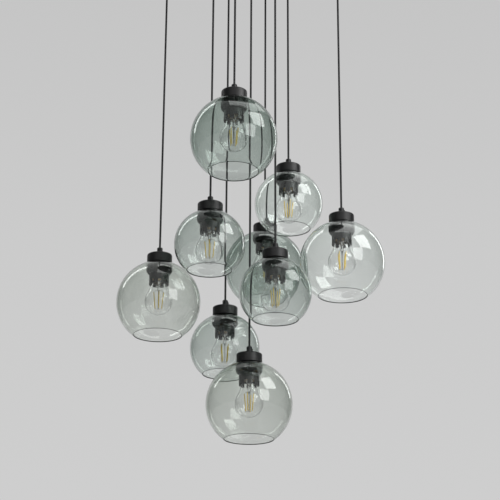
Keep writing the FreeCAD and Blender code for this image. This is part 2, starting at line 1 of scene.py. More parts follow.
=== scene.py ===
# %% [markdown]
# # A cluster pendant of nine smoked glass globes
# Nine open globes hang on black textile cords from one round canopy. Under each black cap a lampholder
# carries the globe and a clear filament bulb. The CAD model gives the place and size of every piece. This
# lesson makes the surfaces and finishes that a CAD mesh can't show: glass with a real wall, braided cord,
# screw threads and powder coat. Everything is in metres, in the frame of the CAD model.

# %% Open the CAD frame
import json
import math

import bmesh
import bpy
import numpy as np
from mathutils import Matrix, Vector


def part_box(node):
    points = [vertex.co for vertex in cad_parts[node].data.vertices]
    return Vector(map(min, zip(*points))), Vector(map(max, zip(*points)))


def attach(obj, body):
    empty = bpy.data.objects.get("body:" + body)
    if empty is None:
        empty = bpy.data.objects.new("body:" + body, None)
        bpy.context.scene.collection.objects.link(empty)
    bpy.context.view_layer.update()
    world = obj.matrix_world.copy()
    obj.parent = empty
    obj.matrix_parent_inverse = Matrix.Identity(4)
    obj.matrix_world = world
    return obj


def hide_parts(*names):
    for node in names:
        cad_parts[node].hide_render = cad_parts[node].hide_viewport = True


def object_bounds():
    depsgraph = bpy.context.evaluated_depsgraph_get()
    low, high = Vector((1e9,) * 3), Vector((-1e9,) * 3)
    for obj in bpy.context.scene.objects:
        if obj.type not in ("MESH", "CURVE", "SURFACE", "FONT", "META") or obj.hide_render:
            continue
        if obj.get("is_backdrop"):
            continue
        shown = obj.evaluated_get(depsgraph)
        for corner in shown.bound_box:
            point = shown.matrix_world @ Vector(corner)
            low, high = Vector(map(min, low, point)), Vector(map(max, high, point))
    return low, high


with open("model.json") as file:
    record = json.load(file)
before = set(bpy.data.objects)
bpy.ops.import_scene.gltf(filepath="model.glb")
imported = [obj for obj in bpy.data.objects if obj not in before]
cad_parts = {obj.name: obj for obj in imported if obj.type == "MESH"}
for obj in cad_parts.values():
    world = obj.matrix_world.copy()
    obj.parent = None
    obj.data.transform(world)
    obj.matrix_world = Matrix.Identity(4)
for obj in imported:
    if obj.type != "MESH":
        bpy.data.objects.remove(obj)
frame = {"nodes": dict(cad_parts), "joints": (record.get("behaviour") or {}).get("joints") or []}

cad_low, cad_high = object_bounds()
print("CAD box, metres:", [round(v, 4) for v in (*cad_low, *cad_high)])

# %% [markdown]
# ## Where the lamps hang
# Each lamp has its own hinge at the mouth of its canopy grip, and that hinge tells where the cord starts.
# The cap's CAD box tells how low the lamp hangs. Heights on a lamp are measured in millimetres from the
# cap's lower edge, as a lamp maker would, so one drawing serves all nine.

# %% Places, sizes and turns of the nine lamps
HANG = {joint["name"]: joint["pos_m"] for joint in frame["joints"] if joint["type"] == "hinge"}
TURN = {1: 12, 2: 62, 3: 5, 4: 40, 5: 75, 6: 20, 7: 52, 8: 8, 9: 25}
SMALL = (2, 4, 6, 8)
LAMPS = {}
for number in TURN:
    x, y, top = HANG[f"swing_{number}"]
    LAMPS[number] = (x, y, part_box(f"cap_{number}")[0].z)
CORD_TOP = HANG["swing_1"][2]
for number, place in LAMPS.items():
    print("lamp", number, "cap's edge at", [round(v, 4) for v in place])

# %% [markdown]
# ## The camera
# The photographer stood low and looked up by 20 degrees with a long lens, so that the open mouths show as
# thin ellipses. A camera looks along its own -Z, so pitching it to 90 + 20 degrees about X does that. The
# picture also leans by a third of a degree, a turn about the camera's own Z before the pitch.

# %% Put up the camera
camera = bpy.data.objects.new("camera", bpy.data.cameras.new("camera"))
bpy.context.scene.collection.objects.link(camera)
camera.data.lens = 105.4
camera.data.sensor_width = 36
camera.location = (0.0002, -2.946, -1.877)
camera.rotation_mode = "ZYX"
camera.rotation_euler = (math.radians(110), 0, 0.0055)
bpy.context.scene.camera = camera
bpy.context.scene.view_settings.view_transform = "Standard"
print("camera at", tuple(round(v, 3) for v in camera.location))

# %% [markdown]
# ## Tools for materials
# Colours are written as the hex codes of a paint chart and turned into the linear values that the renderer
# needs. One function adds a node with its settings and its links, so a material reads like a recipe.

# %% Colour and node helpers


def linear(code):
    """A paint chart's hex code as linear light. Each part of the code, from 0 to 1, is divided by 12.92
    when it is dark, and is otherwise raised to the power 2.4 after 0.055 is added and it is divided by
    1.055."""
    part = np.array([int(code[i : i + 2], 16) for i in (1, 3, 5)]) / 255
    light = np.where(part <= 0.04045, part / 12.92, ((part + 0.055) / 1.055) ** 2.4)
    return (*light.tolist(), 1.0)


def add(tree, kind, inputs=None, **settings):
    """Adds a node of that kind. Each input is a value, or another node's output to link to."""
    node = tree.nodes.new("ShaderNode" + kind)
    for name, value in settings.items():
        setattr(node, name, value)
    for name, value in (inputs or {}).items():
        if isinstance(value, bpy.types.NodeSocket):
            tree.links.new(value, node.inputs[name])
        else:
            node.inputs[name].default_value = value
    return node


def new_material(name):
    """An empty material with its node tree and its output node."""
    material = bpy.data.materials.new(name)
    material.use_nodes = True
    tree = material.node_tree
    tree.nodes.clear()
    return material, tree, tree.nodes.new("ShaderNodeOutputMaterial")


# %% [markdown]
# ## Tools for shapes
# Nearly every piece of a lamp is turned, drawn or blown, so it is round about one axis. A profile of
# (across, up) points in millimetres is worked out as one array, and a second array of angles carries it
# round. The grid of points then becomes a mesh in one go. A few pieces are swept along a line instead, and
# for them a circle is carried along a path.

# %% Lines in a profile


def outline(corners, steps=6):
    """A closed line through corners of (across, up, bend). A corner with a bend is cut by an arc of that
    radius, which starts and ends at bend / tan(half the corner's angle) from the corner. The arc's points
    are the two ends seen from its centre, mixed by the sines of the angle left and the angle gone. A point
    just before and after each arc keeps the flat beside it flat when the surface is shaded."""
    table = np.array([(*corner, 0)[:3] for corner in corners], float)
    point, bend = table[:, :2], table[:, 2:]
    back, on = np.roll(point, 1, 0) - point, np.roll(point, -1, 0) - point
    back /= np.linalg.norm(back, axis=1, keepdims=True)
    on /= np.linalg.norm(on, axis=1, keepdims=True)
    half = np.arccos(np.clip((back * on).sum(1, keepdims=True), -1, 1)) / 2
    middle = back + on
    size = np.maximum(np.linalg.norm(middle, axis=1, keepdims=True), 1e-9)
    cut = bend / np.tan(half)
    centre = point + middle / size * bend / np.sin(half)
    start, end = point + back * cut - centre, point + on * cut - centre
    sweep = np.maximum(math.pi - 2 * half, 1e-6)[:, None, :]
    share = np.linspace(0, 1, steps)[None, :, None]
    arcs = start[:, None] * np.sin((1 - share) * sweep) + end[:, None] * np.sin(share * sweep)
    arcs = np.where(bend[:, None] > 0, arcs / np.sin(sweep), 0) + centre[:, None]
    before = (point + back * (cut + bend * 0.15))[:, None]
    after = (point + on * (cut + bend * 0.15))[:, None]
    return np.concatenate([before, arcs, after], 1).reshape(-1, 2)


def arc(centre, radius, start, end, steps):
    """Points on a circle: the centre plus the radius times the cosine and sine of angles in degrees."""
    angle = np.radians(np.linspace(start, end, steps))
    return np.stack([centre[0] + radius * np.cos(angle), centre[1] + radius * np.sin(angle)], 1)


def bow(start, end, radius, steps):
    """An arc of that radius from start to end. Its centre lies off the middle of the chord, to the left
    for a positive radius, by the root of radius squared less half the chord squared."""
    start, end = np.array(start, float), np.array(end, float)
    half = (end - start) / 2
    length = np.hypot(*half)
    left = np.array([-half[1], half[0]]) / length * math.sqrt(radius * radius - length * length)
    centre = start + half + left * np.sign(radius)
    first = np.degrees(np.arctan2(*(start - centre)[::-1]))
    last = np.degrees(np.arctan2(*(end - centre)[::-1]))
    last = first + (last - first + 180) % 360 - 180
    return arc(centre, abs(radius), first, last, steps)


# %% Surfaces


def lathe(line, columns=96):
    """A line turned about the upright axis: a point (across, up) becomes the circle
    (across cos a, across sin a, up)."""
    angle = np.arange(columns) / columns * 2 * math.pi
    across, up = line[:, :1], line[:, 1:]
    return np.stack([across * np.cos(angle), across * np.sin(angle), up + 0 * angle], -1)


def sweep(path, radii, columns=16):
    """A circle carried along a path. At each point the circle lies square to the path, in the plane of two
    directions that are square to it: the cross product of the path's direction with a fixed one, and the
    cross product of the direction with that."""
    path = np.array(path, float)
    onward = np.gradient(path, axis=0)
    onward /= np.linalg.norm(onward, axis=1, keepdims=True)
    fixed = np.eye(3)[np.argmin(np.abs(onward).max(0))]
    side = np.cross(onward, fixed)
    side /= np.linalg.norm(side, axis=1, keepdims=True)
    up = np.cross(onward, side)
    angle = np.arange(columns)[:, None] / columns * 2 * math.pi
    circle = side[:, None] * np.cos(angle) + up[:, None] * np.sin(angle)
    return path[:, None] + circle * np.array(radii, float)[:, None, None]


def rod(start, end, radius, columns=16, steps=5):
    """A straight rod with half-ball ends. Near an end the rod's radius is radius times the sine of an
    angle, at radius times (1 - cosine) from the end, as the angle goes from 0 to 90 degrees."""
    start, end = np.array(start, float), np.array(end, float)
    angle = np.linspace(0, math.pi / 2, steps)
    length = np.linalg.norm(end - start)
    inset = radius * (1 - np.cos(angle))
    along = np.concatenate([inset, length - inset[::-1]]) / length
    radii = np.concatenate([radius * np.sin(angle), radius * np.sin(angle[::-1])])
    return sweep(start + (end - start) * along[:, None], radii, columns)


# %% From grids of points to a mesh


def grid_cells(rows, columns, ring):
    """The four corner numbers of every cell. The last column joins the first, and in a ring the last row
    joins the first as well."""
    row = np.arange(rows if ring else rows - 1)[:, None]
    column = np.arange(columns)[None, :]
    below, beside = (row + 1) % rows, (column + 1) % columns
    corners = [row * columns + column, row * columns + beside]
    corners += [below * columns + beside, below * columns + column]
    return np.stack(corners, -1).reshape(-1, 4)


def room_in(points, cells):
    """The room that a closed grid holds: a sixth of the triple products of its triangles' corners. It is
    negative when the faces look inwards."""
    a, b, c, d = (points[cells[:, n]] - points.mean(0) for n in range(4))
    return (np.cross(a, b) * c).sum() / 6 + (np.cross(a, c) * d).sum() / 6


def place_piece(name, grids, place, turn=0, sharp=38, uv=None):
    """Makes one mesh object of grids in millimetres, turned by an angle about its own axis and put at its
    place. A grid is (points, ring). Faces are made to look outwards, points that fall together become one,
    and edges sharper than an angle stay crisp."""
    points, cells, total = [], [], 0
    for grid, ring in grids:
        flat = grid.reshape(-1, 3)
        found = grid_cells(*grid.shape[:2], ring)
        cells.append((found if room_in(flat, found) > 0 else found[:, ::-1]) + total)
        points.append(flat)
        total += len(flat)
    points, cells = np.concatenate(points) / 1000, np.concatenate(cells)
    angle = math.radians(turn)
    cosine, sine = math.cos(angle), math.sin(angle)
    spin = np.array([[cosine, sine, 0], [-sine, cosine, 0], [0, 0, 1]])
    points = points @ spin + np.array(place)
    mesh = bpy.data.meshes.new(name)
    mesh.from_pydata(points, [], cells.tolist())
    if uv is not None:
        layer = mesh.uv_layers.new(name="along")
        layer.data.foreach_set("uv", uv.astype(np.float32).ravel())
    work = bmesh.new()
    work.from_mesh(mesh)
    bmesh.ops.remove_doubles(work, verts=work.verts, dist=2e-6)
    work.to_mesh(mesh)
    work.free()
    mesh.shade_smooth()
    mesh.set_sharp_from_angle(angle=math.radians(sharp))
    piece = bpy.data.objects.new(name, mesh)
    bpy.context.scene.collection.objects.link(piece)
    return piece


def finish_piece(piece, material, slot, body, *nodes):
    """Gives a piece its material when it has none, lets it ride on its body and hides the CAD nodes it
    stands for.
    """
    if not piece.data.materials:
        piece.data.materials.append(material)
    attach(piece, body)
    if nodes:
        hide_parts(*nodes)
    return piece


# %% [markdown]
# ## The cords
# Each lamp hangs on a 4.4 mm mains cord in a braided textile sleeve, pulled straight by half a kilogram of
# glass. The line of a cord is a smooth spline from the mouth of its canopy grip to its socket in the cord
# grip on the cap. A tube is then carried along that line, because a mesh can hold its own UV map: U goes
# once round the cord, and V counts metres along it, which is what the braid is drawn on.

# %% Black braided textile
# Polyester yarn, wound by 16 bobbins that cross each other, gives small plump diamonds about 1.7 mm wide.
# Their colour is painted lighter on their backs as a painted sheen, and darker between them as painted
# shade, besides the bump. They are too fine to show from the camera.
braided_textile, tree, out = new_material("braided black polyester sleeve")
mapping = add(tree, "SeparateXYZ", {"Vector": add(tree, "UVMap", uv_map="along").outputs["UV"]})
BRAID_STRANDS, BRAID_STEP = 8, 0.0017
waves = []
for way in (1, -1):
    turns = add(tree, "Math", {0: mapping.outputs["X"], 1: float(BRAID_STRANDS)}, operation="MULTIPLY")
    rise = add(tree, "Math", {0: mapping.outputs["Y"], 1: way / BRAID_STEP}, operation="MULTIPLY")
    both = add(tree, "Math", {0: turns.outputs[0], 1: rise.outputs[0]}, operation="ADD")
    phase = add(tree, "Math", {0: both.outputs[0], 1: 2 * math.pi}, operation="MULTIPLY")
    waves.append(add(tree, "Math", {0: phase.outputs[0]}, operation="SINE").outputs[0])
weave = add(tree, "Math", {0: waves[0], 1: waves[1]}, operation="MULTIPLY")
height = add(tree, "MapRange", {"Value": weave.outputs[0], "From Min": -1.0, "From Max": 1.0})
# painted sheen and shade: the braid's colour is lighter on the crests and darker in the hollows between
# them
braid_painted_sheen_and_shade = add(tree, "ValToRGB", {"Fac": height.outputs["Result"]})
braid_painted_sheen_and_shade.color_ramp.elements[0].color = linear("#151516")
braid_painted_sheen_and_shade.color_ramp.elements[1].color = linear("#28282a")
bump = add(tree, "Bump", {"Height": height.outputs["Result"], "Strength": 0.35, "Distance": 0.0003})
sleeve = add(tree, "BsdfPrincipled", {"Base Color": braid_painted_sheen_and_shade.outputs["Color"], "Roughness": 0.72,
             "Normal": bump.outputs["Normal"], "Sheen Weight": 0.2, "Sheen Roughness": 0.4})
tree.links.new(sleeve.outputs["BSDF"], out.inputs["Surface"])

# %% Draw the nine cords
CORD_D, SOCKET, CORD_SIDES = 0.0044, 0.026, 24


def cord_line(name, points):
    """The points that a NURBS spline through those control points has, read from a curve with no bevel."""
    curve = bpy.data.curves.new(name, "CURVE")
    curve.dimensions = "3D"
    curve.resolution_u = 24
    spline = curve.splines.new("NURBS")
    spline.points.add(len(points) - 1)
    spline.points.foreach_set("co", np.array([(*p, 1.0) for p in points], float).ravel())
    spline.order_u = 3
    spline.use_endpoint_u = True
    holder = bpy.data.objects.new(name, curve)
    bpy.context.scene.collection.objects.link(holder)
    bpy.context.view_layer.update()
    mesh = bpy.data.meshes.new_from_object(holder.evaluated_get(bpy.context.evaluated_depsgraph_get()))
    line = np.zeros(len(mesh.vertices) * 3)
    mesh.vertices.foreach_get("co", line)
    bpy.data.objects.remove(holder)
    bpy.data.curves.remove(curve)
    return line.reshape(-1, 3)


for number, (x, y, base) in LAMPS.items():
    bottom = base + SOCKET
    line = cord_line(f"cord_line_{number}", [
        (x, y, CORD_TOP), (x, y, CORD_TOP - 6 * CORD_D), (x, y, bottom + 6 * CORD_D), (x, y, bottom)])
    # each end is drawn in by a quarter circle: the top one is the ball that turns in the grip's mouth
    closing = np.linspace(0, math.pi / 2, 7)
    ball = CORD_D / 2 * np.stack([0 * closing, 0 * closing, np.cos(closing)], 1)
    path = np.concatenate([line[0] + ball, line[1:], line[-1:]])
    radii = np.concatenate([CORD_D / 2 * np.sin(closing), np.full(len(line) - 1, CORD_D / 2), [0]])
    angle = np.arange(CORD_SIDES) / CORD_SIDES * 2 * math.pi
    around = np.stack([np.cos(angle), np.sin(angle), 0 * angle], -1)
    grid = (path[:, None] + around[None] * radii[:, None, None]) * 1000
    gone = np.concatenate([[0], np.linalg.norm(np.diff(path, axis=0), axis=1).cumsum()])
    row, column = np.meshgrid(np.arange(len(path) - 1), np.arange(CORD_SIDES), indexing="ij")
    turn_share = np.stack([column, column + 1, column + 1, column], -1) / CORD_SIDES
    gone_by = np.stack([gone[row], gone[row], gone[row + 1], gone[row + 1]], -1)
    uv = np.stack([turn_share, gone_by], -1).reshape(-1, 4, 2)
    flat = grid.reshape(-1, 3)
    if room_in(flat, grid_cells(*grid.shape[:2], False)) <= 0:
        uv = uv[:, ::-1]
    piece = place_piece(f"braided_cord_{number}", [(grid, False)], (0, 0, 0), uv=uv)
    finish_piece(piece, braided_textile, "black_textile", f"pendant_{number}", f"cord_{number}")

# %% [markdown]
# ## Black powder coat
# The caps, grips and canopy are steel with a satin black powder coat. Powder melts into a skin with faint
# ripples about a millimetre wide, like orange peel, so highlights break up softly at their edges. Noise on
# the object's own coordinates gives that in metres, and the same noise stirs the gloss a little.

# %% Satin black powder coat


def powder_coat(name, code, gloss):
    """A powder coat of that colour: ripples 0.9 mm wide, and roughness that wanders by a tenth."""
    material, tree, out = new_material(name)
    place = add(tree, "TexCoord").outputs["Object"]
    ripple = add(tree, "TexNoise", {"Vector": place, "Scale": 1 / 0.0009, "Detail": 2.0})
    cloud = add(tree, "TexNoise", {"Vector": place, "Scale": 1 / 0.02, "Detail": 3.0})
    rough = add(tree, "MapRange", {"Value": cloud.outputs["Fac"], "From Min": 0.3, "From Max": 0.7,
                "To Min": gloss - 0.05, "To Max": gloss + 0.05})
    bump = add(tree, "Bump", {"Height": ripple.outputs["Fac"], "Strength": 0.25, "Distance": 0.00006})
    coat = add(tree, "BsdfPrincipled", {"Base Color": linear(code), "Roughness": rough.outputs["Result"],
               "Normal": bump.outputs["Normal"]})
    tree.links.new(coat.outputs["BSDF"], out.inputs["Surface"])
    return material


black_coat = powder_coat("satin black powder coat on steel", "#1c1c1d", 0.42)

# %% [markdown]
# ## Cord grips and caps
# A cord grip is a small turned steel sleeve. The cord sits in its socket and a side screw clamps it. Its
# threaded stem passes through the cap into the lampholder. The cap is a cup drawn from 1.2 mm sheet, so its
# shape is one line with a round shoulder, turned about the axis.

# %% Bare metals


def bare_metal(name, dark, light, grain, detail, low, high):
    """A metal whose tint and gloss wander together in clouds of one size, in metres: dark and light are the
    ends of its tint, low and high the ends of its roughness."""
    material, tree, out = new_material(name)
    place = add(tree, "TexCoord").outputs["Object"]
    cloud = add(tree, "TexNoise", {"Vector": place, "Scale": 1 / grain, "Detail": detail})
    rough = add(tree, "MapRange", {"Value": cloud.outputs["Fac"], "To Min": low, "To Max": high})
    tint = add(tree, "ValToRGB", {"Fac": cloud.outputs["Fac"]})
    tint.color_ramp.elements[0].color = linear(dark)
    tint.color_ramp.elements[1].color = linear(light)
    metal = add(tree, "BsdfPrincipled", {"Base Color": tint.outputs["Color"], "Metallic": 1.0,
                "Roughness": rough.outputs["Result"]})
    tree.links.new(metal.outputs["BSDF"], out.inputs["Surface"])
    return material


# Bright zinc plating is a light bluish grey metal, a little cloudy, and it shows on screws and the strap.
zinc_plated = bare_metal("bright zinc plated steel", "#b9bcc0", "#cfd1d2", 0.006, 4.0, 0.26, 0.44)
# Stamped brass is a warm yellow metal with a thin tarnish that dulls it in patches.
brass = bare_metal("stamped brass", "#b08a4c", "#d9b978", 0.005, 4.0, 0.22, 0.42)
# The bulbs' support wires are drawn nickel iron: grey, thin and bright.
wire_metal = bare_metal("nickel iron support wire", "#a9a49a", "#a9a49a", 0.001, 2.0, 0.25, 0.4)

# %% Turn the cord grips and caps
GRIP_TOP, CAP_TOP, CAP_R, CAP_WALL = 36.5, 20.0, 27.0, 1.2
grip_line = outline([(1.6, 8), (4.9, 8, 0.4), (4.9, 20), (6, 20, 0.3), (6, GRIP_TOP, 2.5),
                     (2.4, GRIP_TOP, 0.3), (2.4, 26), (1.6, 26)])
cap_line = outline([(CAP_R - CAP_WALL, 0, 0.25), (CAP_R, 0, 0.35), (CAP_R, CAP_TOP, 2.5), (5.2, CAP_TOP),
                    (5.2, CAP_TOP - CAP_WALL), (CAP_R - CAP_WALL, CAP_TOP - CAP_WALL, 1.3)], steps=9)
screw_head = outline([(0, 0.75), (1.1, 0.75), (1.1, 1.4), (2.2, 1.4, 0.35), (2.2, 0, 0.15), (1.5, 0),
                      (1.5, -3.4), (0, -3.4)])


def aimed(grid, height, out_to):
    """A grid turned about the upright axis, laid down so that its axis points along X: (x, y, z) becomes
    (z, x, y), moved out to a distance and up to a height."""
    return np.stack([grid[..., 2] + out_to, grid[..., 0], grid[..., 1] + height], -1)


for number, place in LAMPS.items():
    body, turn = f"pendant_{number}", TURN[number]
    grip = place_piece(f"cord_grip_body_{number}", [(lathe(grip_line, 64), True)], place, turn)
    finish_piece(grip, black_coat, "black_metal", body, f"cord_grip_{number}")
    head = aimed(lathe(screw_head, 24), 20 + 16.5 * 0.6, 6.05)
    screw = place_piece(f"cord_grip_screw_{number}", [(head, False)], place, turn)
    finish_piece(screw, black_coat, "black_metal", body, f"cord_grip_{number}")
    cap = place_piece(f"drawn_cap_{number}", [(lathe(cap_line, 144), True)], place, turn)
    finish_piece(cap, black_coat, "black_metal", body, f"cap_{number}")
print("cap", len(cap.data.vertices), "points, grip", len(grip.data.vertices), "points")

# %% [markdown]
# ## The lampholder
# A lampholder for such a lamp is moulded from black phenolic plastic. Its skirt surrounds the bulb's neck
# and ends in eight square notches, as in the photograph. The shade ring is screwed up over it from below
# and clamps the globe against the flange. Inside sit a brass screw shell and a sprung centre contact.

# %% Black phenolic plastic
# Phenolic plastic is moulded hot in polished tools. It is deep black with a satin gloss, and the mould
# leaves a very fine grain, drawn here at 0.4 mm.
phenolic, tree, out = new_material("black phenolic plastic, moulded")
place = add(tree, "TexCoord").outputs["Object"]
grain = add(tree, "TexNoise", {"Vector": place, "Scale": 1 / 0.0004, "Detail": 2.0})
cloud = add(tree, "TexNoise", {"Vector": place, "Scale": 1 / 0.012, "Detail": 3.0})
rough = add(tree, "MapRange", {"Value": cloud.outputs["Fac"], "From Min": 0.3, "From Max": 0.7,
            "To Min": 0.27, "To Max": 0.38})
bump = add(tree, "Bump", {"Height": grain.outputs["Fac"], "Strength": 0.15, "Distance": 0.00003})
plastic = add(tree, "BsdfPrincipled", {"Base Color": linear("#101011"),
              "Roughness": rough.outputs["Result"], "Normal": bump.outputs["Normal"]})
tree.links.new(plastic.outputs["BSDF"], out.inputs["Surface"])

# %% The notched skirt
SKIRT_R, SKIRT_BORE, SKIRT_END, NOTCH_TOP, NOTCH_HALF = 21.4, 18.6, -48.0, -39.0, 3.25
skirt_line = outline([(3.0, -8), (14.2, -8), (14.2, -30.7), (SKIRT_BORE, -30.7), (SKIRT_BORE, NOTCH_TOP),
                      (SKIRT_BORE, SKIRT_END, 0.4), (SKIRT_R, SKIRT_END, 0.4), (SKIRT_R, NOTCH_TOP),
                      (SKIRT_R, 0), (25, 0, 0.2), (25, 2.5, 0.3), (20, 2.5, 0.3), (20, 18.8, 5),
                      (5.2, 18.8), (5.2, 7.5), (3.0, 7.5)])


def notched_skirt(line):
    """A turned line whose lower edge is cut by eight notches. Each eighth of the circle has the same
    angles, two of them doubled at the notch's sides. A point below the notch's top is lifted to it where
    its column lies inside a notch, and between two columns at one angle stands the notch's side."""
    half = math.degrees(NOTCH_HALF / 20)
    inside = np.linspace(-half, half, 6)
    outside = np.linspace(half, 45 - half, 12)
    offset = np.concatenate([inside, outside])
    cut = np.concatenate([np.ones(6, bool), np.zeros(12, bool)])
    angle = np.radians((np.arange(8)[:, None] * 45 + offset).ravel())
    cut = np.tile(cut, 8)
    across, up = line[:, :1], line[:, 1:]
    up = np.where(cut[None, :] & (up < NOTCH_TOP), NOTCH_TOP, up + 0 * angle)
    return np.stack([across * np.cos(angle), across * np.sin(angle), up], -1)


# %% The shade ring
RING_R, RING_IN, RING_FOOT, RING_BAND, RING_TAPER, RING_COVE, RIBS = 28.2, 21.7, 22.6, 11.0, 8.5, 12.0, 40


def ribbed_ring(top):
    """The ring's line, turned, with shallow grip ribs on its band. Each point of the outer band is drawn
    in by 0.35 mm times the fourth power of the cosine of half the rib's angle, and that fades out within
    2 mm of the band's ends."""
    band_end = top - RING_BAND
    cove = bow((RING_FOOT, band_end - RING_TAPER), (RING_R, band_end), RING_COVE, 16)
    line = np.concatenate([
        [(RING_IN, band_end - RING_TAPER), (RING_IN + 0.2, band_end - RING_TAPER)],
        cove,
        np.stack([np.full(12, RING_R), np.linspace(band_end + 0.3, top - 0.8, 12)], 1),
        arc((RING_R - 0.5, top - 0.5), 0.5, 0, 90, 5),
        [(RING_IN + 0.4, top), (RING_IN, top - 0.4)],
    ])
    grid = lathe(line, RIBS * 7)
    angle = np.arange(RIBS * 7) / (RIBS * 7) * 2 * math.pi
    groove = 0.35 * np.abs(np.cos(angle * RIBS / 2)) ** 4
    height = line[:, 1]
    fade = np.clip(np.minimum(top - 0.6 - height, height - band_end) / 2, 0, 1)
    fade = fade * (line[:, 0] > RING_R - 0.6)
    shrink = 1 - groove[None] * fade[:, None] / RING_R
    return grid * np.stack([shrink, shrink, np.ones_like(shrink)], -1)


# %% The screw shell and the centre contact
THREAD_STEP, SHELL_TOP, SHELL_LEN = 3.62, -9.7, 20.0


def screw_shell():
    """Rolled sheet 0.4 mm thick whose radius rises and falls with height and angle together, so that the
    waves climb one thread step, 3.62 mm, in each turn. Its outside comes first and its inside returns."""
    height = np.linspace(SHELL_TOP - SHELL_LEN, SHELL_TOP, 61)
    angle = np.arange(72) / 72 * 2 * math.pi
    wave = np.cos(2 * math.pi * height[:, None] / THREAD_STEP - angle)
    fade = np.clip(np.minimum(SHELL_TOP - height, height - SHELL_TOP + SHELL_LEN) / 2, 0, 1)
    radius = 13.8 + 0.28 * wave * fade[:, None]
    both = np.concatenate([radius + 0.0, (radius - 0.4)[::-1]])
    level = np.concatenate([height, height[::-1]])[:, None] + 0 * angle
    return np.stack([both * np.cos(angle), both * np.sin(angle), level], -1)


contact_line = outline([(0, -9.7), (3.2, -9.7, 0.3), (4.5, -9.0, 0.3), (4.5, -8, 0.2), (0, -8)])
for number, place in LAMPS.items():
    body, turn = f"pendant_{number}", TURN[number]
    node = f"lampholder_{number}"
    skirt = place_piece(f"holder_skirt_{number}", [(notched_skirt(skirt_line), True)], place, turn)
    finish_piece(skirt, phenolic, "black_plastic", body, node)
    top = -4.654 if number in SMALL else -4.2
    ring = place_piece(f"shade_ring_{number}", [(ribbed_ring(top), True)], place, turn, sharp=50)
    finish_piece(ring, phenolic, "black_plastic", body, node)
    shell = place_piece(f"screw_shell_{number}", [(screw_shell(), True)], place, turn, sharp=60)
    finish_piece(shell, brass, "brass", body, node)
    contact = place_piece(f"centre_contact_{number}", [(lathe(contact_line, 32), False)], place, turn)
    finish_piece(contact, brass, "brass", body, node)
print("skirt", len(skirt.data.vertices), "points, shade ring", len(ring.data.vertices), "points")

# %% [markdown]
# ## The globes
# A globe is blown into a mould, cut open at both ends, ground flat at the top hole and melted round at the
# mouth. It is smoked right through, so the colour has to come from the depth of glass that light crosses:
# a volume that absorbs, inside a real wall. That makes the edges darker by themselves. The CAD wall is 2 mm
# everywhere, but a blown wall thins on its way down, so this one goes from 2.3 mm at the hole to 1.3 mm
# near the mouth and ends in a lip. It is never quite even either: its radius wanders by a few hundredths
# of a millimetre.

# %% Smoked soda-lime glass


def clear_or_smoked(name, index, shade, absorb=None, thickness=None):
    """Glass that refracts, and that lets lamp light through as a plain tinted sheet, because a refracting
    wall would otherwise throw a solid shadow. The absorption per metre is set so that a wall of that
    thickness lets through the shares of red, green and blue in absorb."""
    material, tree, out = new_material(name)
    glass = add(tree, "BsdfPrincipled", {"Base Color": (1, 1, 1, 1), "Roughness": 0.0, "IOR": index,
                "Transmission Weight": 1.0})
    sheet = add(tree, "BsdfTransparent", {"Color": shade})
    path = add(tree, "LightPath")
    mix = add(tree, "MixShader", {0: path.outputs["Is Shadow Ray"], 1: glass.outputs["BSDF"],
              2: sheet.outputs["BSDF"]})
    tree.links.new(mix.outputs["Shader"], out.inputs["Surface"])
    if absorb is not None:
        loss = -np.log(np.array(absorb)) / thickness
        density = float(loss.max() * 1.3)
        colour = (*(1 - loss / density).tolist(), 1.0)
        smoke = add(tree, "VolumeAbsorption", {"Color": colour, "Density": density})
        tree.links.new(smoke.outputs["Volume"], out.inputs["Volume"])
    return material


# Smoked soda-lime glass lets about four fifths of the light through each wall. The nine globes aren't
# equally dark: some lean to blue, two are nearly clear with a breath of green, and each has its own
# strength. The tints are the glass's own, but the strengths are partly painted light: each was set to how
# bright its globe looks with the light falling on it, so globes 2 and 3, on the lit right side, are made
# nearly clear.
SMOKES = {"grey": (0.806, 0.838, 0.804), "bluish": (0.800, 0.838, 0.817), "pale": (0.80, 0.90, 0.84)}
GLOBE_SMOKE_WITH_PAINTED_LIGHT = {1: ("bluish", 1.5), 2: ("pale", 0.28), 3: ("pale", 0.2),
           4: ("bluish", 0.95), 5: ("bluish", 1.25), 6: ("bluish", 1.0),
           7: ("grey", 0.7), 8: ("bluish", 0.9), 9: ("grey", 0.72)}


def smoked_glass(number):
    """The glass of one globe: the share let through is that of its smoke, raised to its strength, which is
    partly painted light.
    """
    smoke, strength = GLOBE_SMOKE_WITH_PAINTED_LIGHT[number]
    share = np.array(SMOKES[smoke]) ** strength
    return clear_or_smoked(f"smoked soda-lime glass {number}", 1.5, (*share.tolist(), 1.0), share, 0.002)


# The melted rim is given an opaque dark green surface with a soft shine. Its darkness is painted shade,
# standing in for the light that runs down inside the wall and is lost there, and it is painted darker still
# where the rim is seen edge-on.
rim_painted_shade_glass, tree, out = new_material("melted rim of smoked glass, painted shade")
edge = add(tree, "LayerWeight", {"Blend": 0.35})
rim_painted_shade = add(tree, "ValToRGB", {"Fac": edge.outputs["Facing"]})
rim_painted_shade.color_ramp.elements[0].color = linear("#2b302c")
rim_painted_shade.color_ramp.elements[1].color = linear("#141816")
melted = add(tree, "BsdfPrincipled", {"Base Color": rim_painted_shade.outputs["Color"], "Roughness": 0.3, "IOR": 1.25})
tree.links.new(melted.outputs["BSDF"], out.inputs["Surface"])

# %% Blow the globes
TOP_WALL, LOW_WALL, LIP, HOLE_R = 2.3, 1.3, 1.9, 22.4
DOWN, BEND, UP, COLUMNS = 88, 12, 84, 160


